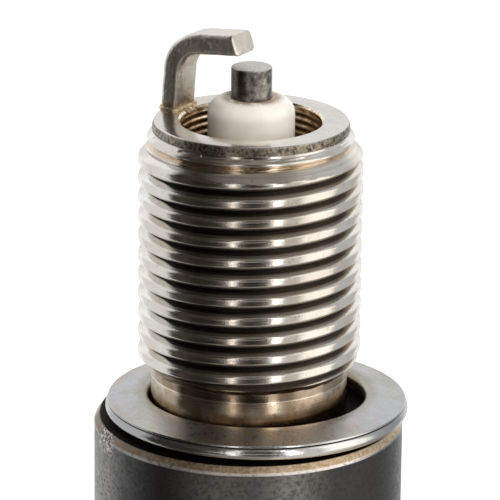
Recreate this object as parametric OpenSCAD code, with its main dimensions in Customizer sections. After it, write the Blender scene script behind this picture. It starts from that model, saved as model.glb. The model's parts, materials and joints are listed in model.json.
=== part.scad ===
// Spark plug with a 14 mm thread, 19 mm reach, gasket seat and built-in resistor.
// +Z runs along the axis towards the firing end. The origin is the centre of the
// shell's gasket seat: the thread is above it, and the hexagon, the insulator's
// ribs and the terminal are below it.

/* [Thread] */
// Diameter over the thread crests
thread_d = 13.9; // [13.76:0.02:13.96]
// Distance from one thread crest to the next
thread_pitch = 1.25; // [1.2:0.01:1.25]
// Number of full-depth crests
thread_crests = 11; // [8:1:11]
// Distance from the gasket seat to the end face of the shell
reach = 19.2; // [19.1:0.1:20]
// Diameter of the plain neck between the seat and the thread
neck_d = 12.3; // [12.2:0.05:12.4]

/* [Shell] */
// Diameter of the round barrel below the seat
barrel_d = 19.4; // [19.3:0.1:20]
// Height of the round barrel
barrel_h = 8.6; // [7.5:0.1:9]
// Distance across the flats of the hexagon
hex_af = 20.8; // [20.6:0.1:20.9]
// Height of the hexagon
hex_h = 8.8; // [8.5:0.1:9]
// Diameter of the mouth of the shell around the insulator nose
mouth_d = 8.7; // [8.5:0.1:8.9]

/* [Gasket] */
// Outer diameter of the folded sealing ring
gasket_d = 19.0; // [18.8:0.1:19.2]
// Diameter of the ring's hole, smaller than the thread so that the ring is captive
gasket_hole_d = 13.68; // [13.6:0.02:13.7]
// Thickness of the sheet that the ring is folded from
gasket_sheet = 0.4; // [0.35:0.01:0.45]
// Sideways rest position of the loose ring, to the right and to the back
gasket_shift = [0.35, -0.15]; // [-0.5:0.05:0.5]

/* [Electrodes] */
// Diameter of the centre electrode
electrode_d = 2.54; // [2.4:0.02:2.6]
// Height of the centre electrode's tip above the seat
electrode_tip = 22.6; // [22.4:0.05:22.65]
// Width of the ground electrode's strap
strap_w = 2.2; // [2:0.1:2.6]
// Thickness of the ground electrode's strap
strap_t = 1.3; // [1.1:0.05:1.3]
// Direction of the strap's leg, measured from +X about +Z
strap_azimuth = 148; // [0:1:360]
// Upward slope of the strap's arm towards its tip
strap_rise = 6.5; // [5:0.5:8]

/* [Insulator] */
// Diameter of the insulator nose at its tip
nose_d = 5.4; // [5.2:0.1:5.6]
// Height of the insulator nose's tip above the seat
nose_tip = 20.65; // [20.4:0.05:21]
// Diameter of the insulator where it leaves the shell
body_d = 10.3; // [10:0.1:10.4]
// Distance from the seat down to the insulator's terminal end
insulator_foot = 43.5; // [43.4:0.1:44]
// Number of ribs round the insulator
rib_count = 5; // [4:1:5]
// Height of each rib above the insulator's body
rib_h = 0.65; // [0.5:0.05:0.7]

/* [Terminal] */
// Diameter of the head of the screwed terminal nut
terminal_d = 6.35; // [6.3:0.01:6.4]
// Distance from the seat down to the nut's end
terminal_foot = 53; // [52.8:0.1:53.4]
// Diameter over the thread crests of the terminal stud
stud_thread_d = 3.9; // [3.86:0.01:3.94]

/* [Hidden] */
$fn = 96;

// thread: a 60 degree form with a crest an eighth of the pitch wide
thread_r = thread_d / 2;
thread_root_r = thread_r - 0.613 * thread_pitch;
crest_flat = thread_pitch / 8;
first_crest_z = 4.6;
last_crest_z = first_crest_z + (thread_crests - 1) * thread_pitch;

// shell, from the end face down
neck_r = neck_d / 2;
end_r = 6.1;
end_bevel = 0.2;
seat_bevel = 0.45;
barrel_r = barrel_d / 2;
waist_r = 8.9;
waist_bevel = 0.6;
waist_h = 2.4;
hex_top_z = -barrel_h - waist_h;
hex_bottom_z = hex_top_z - hex_h;
hex_corner_r = hex_af / sqrt(3);
hex_core_r = hex_af / 2 - 0.5;
hex_face_r = hex_af / 2 - 0.15;
lip_r = 8.3;
lip_bend_r = 2.1;
lip_hole_r = body_d / 2 + 0.2;
mouth_r = mouth_d / 2;
ledge_r = 3.95;
ledge_top_z = 6.6;
ledge_bottom_z = 5.5;
bore_r = 4.75;
collar_bore_r = 7.12;
collar_bore_top_z = -2.9;

// gasket
gasket_step = 0.25;

// insulator, from the tip down
nose_r = nose_d / 2;
nose_edge_r = 1.0;
nose_straight_h = 4.5;
nose_foot_r = 3.35;
shank_r = 4.6;
collar_r = 6.78;
collar_top_z = -4.9;
collar_bottom_z = -14.2;
body_r = body_d / 2;
body_top_z = -15.78;
rib_top_z = -29;
rib_pitch = 2.2;
rib_steps = 10;
neck_down_r = 4.5;
washer_h = 0.42;
electrode_hole_r = electrode_d / 2 + 0.02;
core_bore_r = 1.95;
head_seat_z = 1.0;

// electrode head, seals, resistor and stud inside the insulator's bore
head_r = 1.75;
head_top_z = 0.35;
head_foot_z = -1.6;
copper_r = 0.75;
copper_top_z = 18.6;
lower_seal_foot_z = -4.4;
resistor_foot_z = -13.2;
upper_seal_foot_z = -17.4;
stud_tip_z = -15.4;
stud_tip_r = 1.4;
stud_shaft_r = 1.75;
stud_flange_r = 3.1;
stud_flange_h = 1.2;
stud_thread_r = stud_thread_d / 2;
stud_pitch = 0.7;
stud_root_r = stud_thread_r - 0.613 * stud_pitch;
stud_foot_z = -insulator_foot - stud_flange_h - 7.1;

// packing between the insulator's collar and the rolled lip
wire_r = 0.55;
wire_gap = 0.01;
wire_centre_r = collar_bore_r - wire_r - wire_gap;
lower_wire_z = -15.25;
talc_top_z = lower_wire_z - wire_r - wire_gap;
talc_foot_z = -18.6;
upper_wire_z = talc_foot_z - wire_r - wire_gap;

// ground electrode: leg, bend and arm
strap_edge = 0.3;
leg_r = 5.42;
leg_lean = 4.5;
leg_h = 2.59;
bend_r = 2.05;
bend_turn = 90 - leg_lean - strap_rise;
arm_l = 2.82;
weld_h = 0.25;
weld_w = 2.9;
weld_t = 1.4;

// terminal nut
nut_top_z = -insulator_foot - stud_flange_h;
nut_base_r = 3.75;
nut_base_h = 1.5;
nut_neck_r = 2.75;
nut_neck_h = 2.1;
nut_bevel = 0.5;
nut_bore_r = stud_thread_r + 0.05;
nut_bore_h = 7.5;

// points of an arc in the (radius, height) plane, from angle a to angle b
function arc(cr, cz, r, a, b, steps = 8) =
    [for (i = [0 : steps]) let (t = a + (b - a) * i / steps) [cr + r * cos(t), cz + r * sin(t)]];

// ring grooves of a 60 degree thread, cut between crests centred pitch apart
module thread_grooves(crest_r, root_r, pitch, first_z, count) {
    half_crest = pitch / 16;
    half_root = pitch / 2 - half_crest - (crest_r - root_r) * tan(30);
    over = 0.2;
    for (i = [0 : count - 1])
        translate([0, 0, first_z + (i + 0.5) * pitch])
            rotate_extrude()
                polygon([
                    [root_r, -half_root],
                    [crest_r, half_crest - pitch / 2],
                    [crest_r + over, half_crest - pitch / 2],
                    [crest_r + over, pitch / 2 - half_crest],
                    [crest_r, pitch / 2 - half_crest],
                    [root_r, half_root]
                ]);
}

// lathe section of the shell without its hexagon
module shell_section() {
    lead_in_z = last_crest_z + crest_flat / 2 + thread_pitch;
    polygon(concat(
        [
            [mouth_r, reach],
            [end_r - end_bevel, reach],
            [end_r, reach - end_bevel],
            [end_r, lead_in_z],
            [thread_r, lead_in_z - (thread_r - end_r)],
            [thread_r, first_crest_z - crest_flat / 2],
            [neck_r, first_crest_z - crest_flat / 2 - (thread_r - neck_r) * tan(30)],
            [neck_r, 0],
            [barrel_r - seat_bevel, 0],
            [barrel_r, -seat_bevel],
            [barrel_r, -barrel_h],
            [waist_r, -barrel_h - waist_bevel],
            [waist_r, hex_top_z + 0.1],
            [hex_core_r, hex_top_z - 0.5],
            [hex_core_r, hex_bottom_z + 0.5],
            [lip_r, hex_bottom_z + 0.1]
        ],
        arc(lip_r - lip_bend_r, hex_bottom_z - 0.4, lip_bend_r, 0, -78),
        [
            [lip_hole_r, hex_bottom_z - 2.1],
            [lip_hole_r, hex_bottom_z - 1.2],
            [collar_bore_r, upper_wire_z - wire_r],
            [collar_bore_r, collar_bore_top_z - (collar_bore_r - bore_r) * 0.6],
            [bore_r, collar_bore_top_z],
            [bore_r, ledge_bottom_z - (bore_r - ledge_r)],
            [ledge_r, ledge_bottom_z],
            [ledge_r, ledge_top_z],
            [mouth_r, ledge_top_z + 0.4]
        ]
    ));
}

// hexagon for the spanner, its corners turned off at both ends
module hexagon() {
    corner_h = (hex_corner_r - hex_face_r) * tan(30);
    intersection() {
        translate([0, 0, hex_bottom_z])
            cylinder(h = hex_h, r = hex_corner_r, $fn = 6);
        rotate_extrude()
            polygon([
                [0, hex_top_z],
                [hex_face_r, hex_top_z],
                [hex_corner_r + 0.1, hex_top_z - corner_h],
                [hex_corner_r + 0.1, hex_bottom_z + corner_h],
                [hex_face_r, hex_bottom_z],
                [0, hex_bottom_z]
            ]);
    }
}

module shell() {
    color("#b5b0a6")
        union() {
            difference() {
                rotate_extrude() shell_section();
                thread_grooves(thread_r, thread_root_r, thread_pitch, first_crest_z, thread_crests);
            }
            difference() {
                hexagon();
                translate([0, 0, hex_bottom_z - 1])
                    cylinder(h = hex_h + 2, r = hex_core_r - 0.5);
            }
        }
}

// rectangle with bevelled corners, thickness along X and width along Y
module strap_section() {
    a = strap_t / 2;
    b = strap_w / 2;
    e = strap_edge;
    polygon([
        [a - e, -b], [a, e - b], [a, b - e], [a - e, b],
        [e - a, b], [-a, b - e], [-a, e - b], [e - a, -b]
    ]);
}

module ground_electrode() {
    below = 1;
    color("#8f877a")
        rotate([0, 0, strap_azimuth])
            difference() {
                translate([leg_r, 0, reach]) {
                    rotate([0, -leg_lean, 0]) {
                        translate([0, 0, -below])
                            linear_extrude(leg_h + below) strap_section();
                        translate([-bend_r, 0, leg_h]) {
                            rotate([90, 0, 0])
                                rotate_extrude(angle = bend_turn)
                                    translate([bend_r, 0]) strap_section();
                            rotate([0, -bend_turn, 0])
                                translate([bend_r, 0, 0])
                                    linear_extrude(arm_l) strap_section();
                        }
                    }
                    translate([-weld_t / 2 - 0.06, -weld_w / 2, 0])
                        cube([weld_t, weld_w, weld_h]);
                }
                translate([0, -3, reach - 2]) cube([8, 6, 2]);
            }
}

// one sheet folded flat into three layers: the top layer turns under at the hole,
// and the two layers below it end in a round fold inside the top layer's free edge
module gasket_section() {
    outer_r = gasket_d / 2;
    hole_r = gasket_hole_d / 2;
    sheet = gasket_sheet;
    bead_r = outer_r - gasket_step - sheet;
    translate([hole_r + sheet, 2 * sheet]) circle(sheet);
    translate([hole_r + sheet, sheet])
        square([bead_r - hole_r - sheet, 2 * sheet]);
    translate([hole_r + sheet + 0.15, 0])
        square([bead_r - hole_r - sheet - 0.15, 2 * sheet]);
    translate([bead_r, sheet]) circle(sheet);
    translate([hole_r + sheet, 2 * sheet])
        square([outer_r - sheet * 1.5 - hole_r, sheet]);
    translate([outer_r - sheet / 2, 2.5 * sheet]) circle(sheet / 2);
}

module gasket() {
    color("#b9b6a8")
        translate([gasket_shift.x, gasket_shift.y, 0])
            rotate_extrude() gasket_section();
}

// stepped section of the insulator, ribs included
module insulator_section() {
    shoulder_z = ledge_bottom_z - washer_h;
    polygon(concat(
        [[electrode_hole_r, nose_tip]],
        arc(nose_r - nose_edge_r, nose_tip - nose_edge_r, nose_edge_r, 90, 0, 6),
        [
            [nose_r, nose_tip - nose_straight_h],
            [nose_foot_r, shoulder_z + ledge_r - nose_foot_r],
            [shank_r, shoulder_z + ledge_r - shank_r],
            [shank_r, collar_top_z + 1.6],
            [collar_r, collar_top_z],
            [collar_r, collar_bottom_z],
            [body_r, body_top_z],
            [body_r, rib_top_z]
        ],
        [
            for (i = [0 : rib_count - 1], s = [1 : rib_steps])
                [
                    body_r + rib_h * (1 - cos(360 * s / rib_steps)) / 2,
                    rib_top_z - (i + s / rib_steps) * rib_pitch
                ]
        ],
        [
            [neck_down_r, rib_top_z - rib_count * rib_pitch - 1.1],
            [neck_down_r, 0.3 - insulator_foot],
            [neck_down_r - 0.3, -insulator_foot],
            [core_bore_r, -insulator_foot],
            [core_bore_r, head_seat_z - (core_bore_r - electrode_hole_r)],
            [electrode_hole_r, head_seat_z]
        ]
    ));
}

module insulator() {
    color("#f1ece0")
        rotate_extrude() insulator_section();
}

// outside of the centre electrode with its head
module electrode_body() {
    rotate_extrude()
        polygon([
            [0, electrode_tip],
            [electrode_d / 2 - 0.08, electrode_tip],
            [electrode_d / 2, electrode_tip - 0.08],
            [electrode_d / 2, head_top_z + head_r - electrode_d / 2],
            [head_r, head_top_z],
            [head_r, head_foot_z],
            [0, head_foot_z]
        ]);
}

module centre_electrode() {
    color("#77736c")
        difference() {
            electrode_body();
            translate([0, 0, head_foot_z - 1])
                cylinder(h = copper_top_z - head_foot_z + 1, r = copper_r);
        }
}

module copper_core() {
    color("#b87345")
        translate([0, 0, head_foot_z])
            cylinder(h = copper_top_z - head_foot_z, r = copper_r);
}

// cone of sheet between the insulator's shoulder and the shell's ledge
module seat_washer() {
    outer_r = shank_r - 0.05;
    drop = outer_r - ledge_r;
    color("#a9a59c")
        rotate_extrude()
            polygon([
                [ledge_r, ledge_bottom_z - washer_h],
                [outer_r, ledge_bottom_z - washer_h - drop],
                [outer_r, ledge_bottom_z - drop],
                [ledge_r, ledge_bottom_z]
            ]);
}

module wire_ring(z) {
    rotate_extrude()
        translate([wire_centre_r, z]) circle(wire_r);
}

module lower_packing_ring() {
    color("#8c8a86") wire_ring(lower_wire_z);
}

module upper_packing_ring() {
    color("#8c8a86") wire_ring(upper_wire_z);
}

module talc_seal() {
    color("#dcd8cc")
        translate([0, 0, talc_foot_z])
            difference() {
                cylinder(h = talc_top_z - talc_foot_z, r = collar_bore_r);
                translate([0, 0, -1])
                    cylinder(h = talc_top_z - talc_foot_z + 2, r = body_r);
            }
}

module lower_glass_seal() {
    color("#5a5046")
        difference() {
            translate([0, 0, lower_seal_foot_z])
                cylinder(h = head_top_z - 0.3 - lower_seal_foot_z, r = core_bore_r);
            electrode_body();
        }
}

module resistor() {
    color("#3c3a3a")
        translate([0, 0, resistor_foot_z])
            cylinder(h = lower_seal_foot_z - resistor_foot_z, r = core_bore_r);
}

module stud_tip() {
    translate([0, 0, upper_seal_foot_z])
        cylinder(h = stud_tip_z - upper_seal_foot_z, r = stud_tip_r);
}

module upper_glass_seal() {
    color("#5a5046")
        difference() {
            translate([0, 0, upper_seal_foot_z])
                cylinder(h = resistor_foot_z - upper_seal_foot_z, r = core_bore_r);
            stud_tip();
        }
}

module terminal_stud() {
    groove_count = 9;
    color("#a8a6a0") {
        stud_tip();
        difference() {
            rotate_extrude()
                polygon([
                    [0, upper_seal_foot_z],
                    [stud_shaft_r, upper_seal_foot_z],
                    [stud_shaft_r, -insulator_foot],
                    [stud_flange_r, -insulator_foot],
                    [stud_flange_r, nut_top_z],
                    [stud_thread_r, nut_top_z],
                    [stud_thread_r, stud_foot_z + 0.4],
                    [stud_thread_r - 0.4, stud_foot_z],
                    [0, stud_foot_z]
                ]);
            thread_grooves(stud_thread_r, stud_root_r, stud_pitch,
                nut_top_z - 0.6 - groove_count * stud_pitch, groove_count);
        }
    }
}

module terminal_nut() {
    neck_top_z = nut_top_z - nut_base_h;
    neck_foot_z = neck_top_z - nut_neck_h;
    head_r = terminal_d / 2;
    color("#c4c2bd")
        difference() {
            rotate_extrude()
                polygon([
                    [0, nut_top_z],
                    [nut_base_r - 0.2, nut_top_z],
                    [nut_base_r, nut_top_z - 0.2],
                    [nut_base_r, neck_top_z + 0.3],
                    [nut_base_r - 0.3, neck_top_z],
                    [nut_neck_r, neck_top_z - 0.3],
                    [nut_neck_r, neck_foot_z],
                    [head_r, neck_foot_z - 0.35],
                    [head_r, nut_bevel - terminal_foot],
                    [head_r - nut_bevel, -terminal_foot],
                    [0, -terminal_foot]
                ]);
            translate([0, 0, nut_top_z - nut_bore_h])
                cylinder(h = nut_bore_h + 1, r = nut_bore_r);
        }
}

shell();
ground_electrode();
gasket();
insulator();
centre_electrode();
copper_core();
seat_washer();
lower_packing_ring();
talc_seal();
upper_packing_ring();
lower_glass_seal();
resistor();
upper_glass_seal();
terminal_stud();
terminal_nut();
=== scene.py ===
"""Visual model of a spark plug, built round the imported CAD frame.

Outlines are written in millimetres, as (radius, height) pairs about the plug's axis, and
become metres when a mesh is made. Height 0 is the gasket seat and +Z is the firing end.
"""
import json
import math

import bpy
import bmesh
import numpy as np
from mathutils import Matrix, Vector, noise


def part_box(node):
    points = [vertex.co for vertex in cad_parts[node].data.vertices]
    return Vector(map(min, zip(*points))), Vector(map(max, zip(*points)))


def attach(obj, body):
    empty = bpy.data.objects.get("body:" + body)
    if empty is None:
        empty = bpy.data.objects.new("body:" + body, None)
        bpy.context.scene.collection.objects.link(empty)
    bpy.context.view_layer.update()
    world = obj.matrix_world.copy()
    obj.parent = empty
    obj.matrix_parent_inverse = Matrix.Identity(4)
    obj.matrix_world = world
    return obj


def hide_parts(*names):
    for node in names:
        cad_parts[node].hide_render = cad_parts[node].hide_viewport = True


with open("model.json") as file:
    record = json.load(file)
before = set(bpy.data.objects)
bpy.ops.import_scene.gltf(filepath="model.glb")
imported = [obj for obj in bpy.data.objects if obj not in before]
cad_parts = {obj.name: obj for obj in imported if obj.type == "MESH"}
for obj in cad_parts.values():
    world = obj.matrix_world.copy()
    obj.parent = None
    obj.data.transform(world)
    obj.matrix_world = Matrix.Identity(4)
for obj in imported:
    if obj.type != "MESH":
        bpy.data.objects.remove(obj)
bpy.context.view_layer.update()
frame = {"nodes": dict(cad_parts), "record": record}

MM = 0.001
TAU = 2.0 * math.pi


def box_mm(node):
    """Lowest and highest corner of a CAD node, in millimetres."""
    low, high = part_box(node)
    return low / MM, high / MM


MOUNTS = {m["name"]: m for m in frame["record"]["mounts"]}
JOINTS = {j["name"]: j for j in frame["record"]["behaviour"]["joints"]}

# Driving sizes, read from the frame
REACH = box_mm("shell")[1].z
SHELL_FOOT = box_mm("shell")[0].z
THREAD_R = MOUNTS["thread"]["dims"]["r_mm"]
BARREL_R = MOUNTS["barrel"]["dims"]["r_mm"]
TERMINAL_R = MOUNTS["terminal"]["dims"]["r_mm"]
HEX_AF = box_mm("shell")[1].y - box_mm("shell")[0].y
ELECTRODE_TIP = box_mm("centre_electrode")[1].z
NOSE_TIP = box_mm("insulator")[1].z
INSULATOR_FOOT = box_mm("insulator")[0].z
NUT_TOP = box_mm("terminal_nut")[1].z
NUT_FOOT = box_mm("terminal_nut")[0].z
STUD_FOOT = box_mm("terminal_stud")[0].z
NUT_TRAVEL = JOINTS["terminal_nut_off"]["range_m"][1]

# Thread form, and the height of a crest at the front
PITCH = 1.25
THREAD_DEPTH = 0.65
HALF_CREST = 0.26
CREST_ROUNDING = 0.11
CREST_PHASE = 15.84

# Ends of the thread: the neck's top, the run-out above it, and the groove and ridge at the rim
THREAD_LOW = 2.87
RUN_OUT = 3.45
TAPER = 1.1
RIM_GROOVE = REACH - 1.35
RIM_STEP = 0.08
RIDGE_H = 0.24
RIDGE_HALF_W = 0.30
THREAD_HIGH = REACH - 0.45

# Other sizes of the shell
NECK_R = 6.15
NECK_STEP = 0.07
END_R = 6.1
MOUTH_R = 4.35
SEAT_R = BARREL_R - 0.28
SEAT_BEVEL_H = 0.42
WAIST_R = 8.9
BARREL_FOOT = -8.6
HEX_TOP = -11.0
HEX_FOOT = -19.8
HEX_FACE_R = HEX_AF / 2 - 0.15
HEX_CORNER_FILLET = 0.35
BEVEL_SLOPE = math.tan(math.radians(30))

# Gasket: its hole, and the height of the crease between the sheet's edge and the bead
GASKET_HOLE_R = 6.78
GASKET_CREASE = 0.82

# Strap of the ground electrode
STRAP_AZIMUTH = math.radians(148)
STRAP_W = 2.2
STRAP_T = 1.3
STRAP_SLANT = 0.28

# Centre electrode, insulator and stud
ELECTRODE_R = 1.27
NOSE_R = 2.69
SHANK_R = 4.6
COLLAR_R = 6.78
BODY_R = 5.15
STUD_CREST_R = 1.95
STUD_PITCH = 0.7
STUD_DEPTH = 0.43


# ---------------------------------------------------------------- meshes

def rounded(points, steps=5):
    """An outline with its corners turned into arcs. A point is (r, z) or (r, z, fillet)."""
    out = []
    for i, point in enumerate(points):
        corner = Vector(point[:2])
        fillet = point[2] if len(point) > 2 and 0 < i < len(points) - 1 else 0.0
        if fillet <= 0.0:
            out.append(tuple(corner))
            continue
        before = (Vector(points[i - 1][:2]) - corner).normalized()
        after = (Vector(points[i + 1][:2]) - corner).normalized()
        half = before.angle(after) / 2
        reach = fillet / math.tan(half)
        centre = corner + (before + after).normalized() * (fillet / math.sin(half))
        start = corner + before * reach - centre
        turn = (corner + after * reach - centre).angle_signed(start)
        for k in range(steps + 1):
            out.append(tuple(centre + Matrix.Rotation(turn * k / steps, 2) @ start))
    return out


def even_columns(count):
    """Angles of a round piece's columns."""
    return np.arange(count) * TAU / count


def unit(degrees):
    """Direction in a plane, as a vector of length 1."""
    return Vector((math.cos(math.radians(degrees)), math.sin(math.radians(degrees))))


def ring_faces(rows, columns, joined):
    """Quads between rows of vertices; joined closes each row on itself."""
    width = columns if joined else columns - 1
    i, j = np.meshgrid(np.arange(rows - 1), np.arange(width), indexing="ij")
    a = i * columns + j
    b = i * columns + (j + 1) % columns
    return np.stack([a, b, b + columns, a + columns], -1).reshape(-1, 4)


def lathe(outline, angles, centre=(0.0, 0.0)):
    """Vertices and faces of an outline turned about the axis. Radii and heights may be arrays."""
    rows = [np.broadcast_to(np.array(v, dtype=float), angles.shape) for p in outline for v in p]
    r = np.array(rows[0::2])
    z = np.array(rows[1::2])
    x = centre[0] + r * np.cos(angles)
    y = centre[1] + r * np.sin(angles)
    return np.stack([x, y, z], -1).reshape(-1, 3), ring_faces(len(outline), len(angles), True)


def thread_outline(crest_r, depth, pitch, half_crest, soft):
    """One pitch of a 60 degree thread: heights from its crest, and radii. The crest's edges are
    rounded over soft mm to each side, and the root is one round bowl between the flanks."""
    slope = 1 / math.tan(math.radians(30))
    bowl = 2 * ((pitch / 2 - half_crest) - depth / slope)
    crest = np.linspace(0.0, half_crest + soft, 8)
    flank = np.linspace(half_crest + soft, pitch / 2 - bowl, 5)[1:-1]
    root = np.linspace(pitch / 2 - bowl, pitch / 2, 6)
    half = np.concatenate([crest, flank, root])
    heights = np.concatenate([-half[-2:0:-1], half])
    away = np.abs(heights)
    edge = away - half_crest
    fall = np.where(edge < soft, (edge + soft) ** 2 * slope / (4 * soft), slope * edge)
    fall = np.where(edge < -soft, 0.0, fall)
    from_root = pitch / 2 - away
    root_fall = depth - slope * from_root ** 2 / (2 * bowl)
    fall = np.where(from_root < bowl, root_fall, fall)
    return heights, crest_r - fall


def helix(angles, low, high, pitch, phase, heights, radii, envelope):
    """Thread surface between two heights, its rows following the helix. The crest at angle 0 is at
    height phase, plus whole pitches. envelope(z) is the largest radius allowed at a height."""
    turns = np.append(angles, angles[0] + TAU) / TAU
    first = math.floor((low - phase) / pitch) - 1
    count = math.ceil((high - low) / pitch) + 3
    along = np.concatenate([heights + phase + (first + n) * pitch for n in range(count)])
    radius = np.tile(radii, count)
    z = along[:, None] + turns[None, :] * pitch
    z = np.clip(z, low, high)
    r = np.minimum(radius[:, None] + 0.0 * z, envelope(z))
    theta = turns * TAU
    verts = np.stack([r * np.cos(theta), r * np.sin(theta), z], -1).reshape(-1, 3)
    return verts, ring_faces(len(along), len(turns), False)


def joined(*parts):
    """One list of vertices and faces from several."""
    verts, faces, offset = [], [], 0
    for part_verts, part_faces in parts:
        verts.append(part_verts)
        faces += [[int(i) + offset for i in face] for face in part_faces]
        offset += len(part_verts)
    return np.concatenate(verts), faces


def piece(name, verts, faces, materials, body, sharp=35.0, pick=None):
    """A finished mesh piece from millimetre vertices, riding on a body."""
    mesh = bpy.data.meshes.new(name)
    mesh.from_pydata((np.asarray(verts) * MM).tolist(), [], [list(map(int, f)) for f in faces])
    bm = bmesh.new()
    bm.from_mesh(mesh)
    bmesh.ops.remove_doubles(bm, verts=bm.verts, dist=2e-7)
    bmesh.ops.dissolve_degenerate(bm, edges=bm.edges, dist=1e-8)
    bmesh.ops.recalc_face_normals(bm, faces=bm.faces)
    for face in bm.faces:
        face.smooth = True
        face.material_index = pick(face.calc_center_median() / MM) if pick else 0
    limit = math.radians(sharp)
    for edge in bm.edges:
        edge.smooth = len(edge.link_faces) == 2 and edge.calc_face_angle(0.0) < limit
    bm.to_mesh(mesh)
    bm.free()
    for material in materials:
        mesh.materials.append(material)
    thing = bpy.data.objects.new(name, mesh)
    bpy.context.scene.collection.objects.link(thing)
    weighted = thing.modifiers.new("normals", "WEIGHTED_NORMAL")
    weighted.keep_sharp = True
    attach(thing, body)
    return thing


# ---------------------------------------------------------------- node graphs

class Graph:
    """Adds nodes to a tree, one call each. Inputs are values or other nodes' outputs."""

    def __init__(self, tree):
        self.tree = tree
        tree.nodes.clear()

    def node(self, kind, inputs=None, **settings):
        made = self.tree.nodes.new(kind)
        for key, value in settings.items():
            setattr(made, key, value)
        for key, value in (inputs or {}).items():
            self.put(made.inputs[key], value)
        return made

    def put(self, socket, value):
        if isinstance(value, bpy.types.NodeSocket):
            self.tree.links.new(value, socket)
        elif isinstance(value, (tuple, list)) and socket.type == "RGBA":
            socket.default_value = (*value[:3], 1.0)
        else:
            socket.default_value = value

    def math(self, operation, a, b=0.0, c=0.0):
        made = self.node("ShaderNodeMath", {0: a, 1: b, 2: c}, operation=operation)
        return made.outputs[0]

    def plus(self, a, b):
        return self.math("ADD", a, b)

    def times(self, a, b):
        return self.math("MULTIPLY", a, b)

    def apart(self, a, b):
        """How far apart two values are."""
        return self.math("ABSOLUTE", self.math("SUBTRACT", a, b))

    def smooth(self, value, low, high, start=0.0, end=1.0):
        """start below low, end above high, and a smooth step between."""
        made = self.node(
            "ShaderNodeMapRange",
            {"Value": value, "From Min": low, "From Max": high, "To Min": start, "To Max": end},
            interpolation_type="SMOOTHSTEP",
        )
        return made.outputs["Result"]

    def mix(self, factor, a, b, blend="MIX"):
        made = self.node("ShaderNodeMix", data_type="RGBA", blend_type=blend)
        self.put(made.inputs[0], factor)
        self.put(made.inputs[6], a)
        self.put(made.inputs[7], b)
        return made.outputs[2]

    def vector(self, x, y, z):
        return self.node("ShaderNodeCombineXYZ", {0: x, 1: y, 2: z}).outputs[0]

    def noise(self, vector, scale, detail=3.0, roughness=0.55, distortion=0.0):
        made = self.node(
            "ShaderNodeTexNoise",
            {"Vector": vector, "Scale": scale, "Detail": detail, "Roughness": roughness,
             "Distortion": distortion},
        )
        return made.outputs["Fac"]

    def turned(self, fine, slow):
        """Place in the material for lathe marks: fast along the outline, slow round the axis.
        fine and slow are marks per millimetre."""
        round_axis = self.vector(self.times(self.x, slow), self.times(self.y, slow), 0.0)
        outwards = self.vector(self.times(self.r, fine), 0.0, self.times(self.z, fine))
        both = self.node("ShaderNodeVectorMath", {0: round_axis, 1: outwards}, operation="ADD")
        return both.outputs[0]

    def places(self, centre=(0.0, 0.0)):
        """Sets x, y, z and r, the place in the frame in millimetres, mm, the same as a vector,
        turn, the angle round the axis, and normal_z, which is 1 where the surface faces up."""
        coords = self.node("ShaderNodeTexCoord").outputs["Object"]
        self.mm = self.node(
            "ShaderNodeVectorMath", {0: coords, 3: 1.0 / MM}, operation="SCALE"
        ).outputs[0]
        split = self.node("ShaderNodeSeparateXYZ", {0: self.mm}).outputs
        self.x, self.y, self.z = split[0], split[1], split[2]
        dx = self.math("SUBTRACT", self.x, centre[0])
        dy = self.math("SUBTRACT", self.y, centre[1])
        square = self.plus(self.times(dx, dx), self.times(dy, dy))
        self.r = self.math("SQRT", square)
        self.turn = self.times(self.math("ARCTAN2", dy, dx), 360.0 / TAU)
        normal = self.node("ShaderNodeNewGeometry").outputs["Normal"]
        self.normal_z = self.node("ShaderNodeSeparateXYZ", {0: normal}).outputs[2]
        return self

    def bump(self, height, strength, distance_mm, normal=None):
        inputs = {"Height": height, "Strength": strength, "Distance": distance_mm * MM}
        if normal is not None:
            inputs["Normal"] = normal
        return self.node("ShaderNodeBump", inputs).outputs[0]

    def surface(self, **inputs):
        """Ends the graph in a principled surface."""
        names = {key: key.replace("_", " ") for key in inputs}
        shader = self.node("ShaderNodeBsdfPrincipled", {names[k]: v for k, v in inputs.items()})
        self.node("ShaderNodeOutputMaterial", {"Surface": shader.outputs[0]})


def new_material(name, centre=(0.0, 0.0)):
    material = bpy.data.materials.new(name)
    material.use_nodes = True
    return material, Graph(material.node_tree).places(centre)


# ---------------------------------------------------------------- materials

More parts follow.
